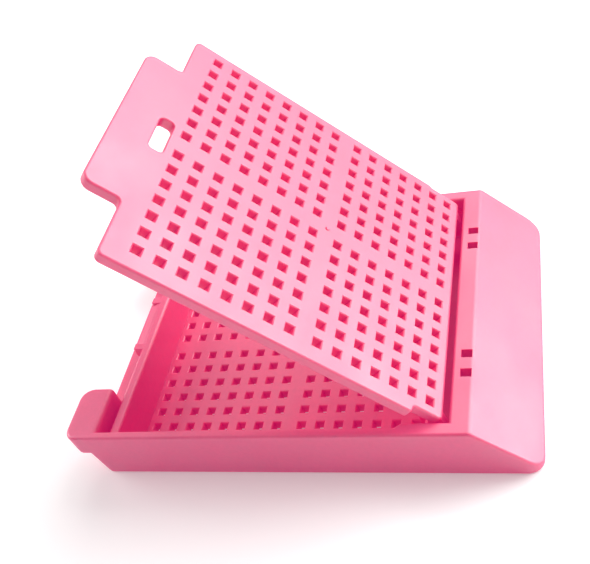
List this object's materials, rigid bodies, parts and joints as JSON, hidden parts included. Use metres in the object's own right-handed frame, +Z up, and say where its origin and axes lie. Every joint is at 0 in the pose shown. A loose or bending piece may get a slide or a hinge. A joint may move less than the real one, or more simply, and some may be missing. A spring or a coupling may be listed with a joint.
{
  "type": "tissue cassette",
  "caption": "Shallow drained plastic tray with a sloped writing face and a hinged lid, both perforated with small square holes, for holding biopsy samples during processing.",
  "frame": {"origin": "centre of the tray's footprint, on its bottom face", "axes": "+X along the length towards the sloped writing face, +Y across the tray, +Z up out of the chamber"},
  "size_m": [0.041, 0.0288, 0.0286],
  "materials": {
    "tray_plastic": "fine matt moulded pink",
    "lid_plastic": "fine matt moulded pink"
  },
  "bodies": {
    "tray": {"base": "tray_plastic"},
    "lid": {"lid": "lid_plastic"}
  },
  "joints": [
    {"name": "lid_hinge", "type": "hinge", "parent": "tray", "child": "lid", "pos_m": [0.01235, 0, 0.0037], "axis": [0, 1, 0], "range_deg": [-46.4, 14]}
  ]
}
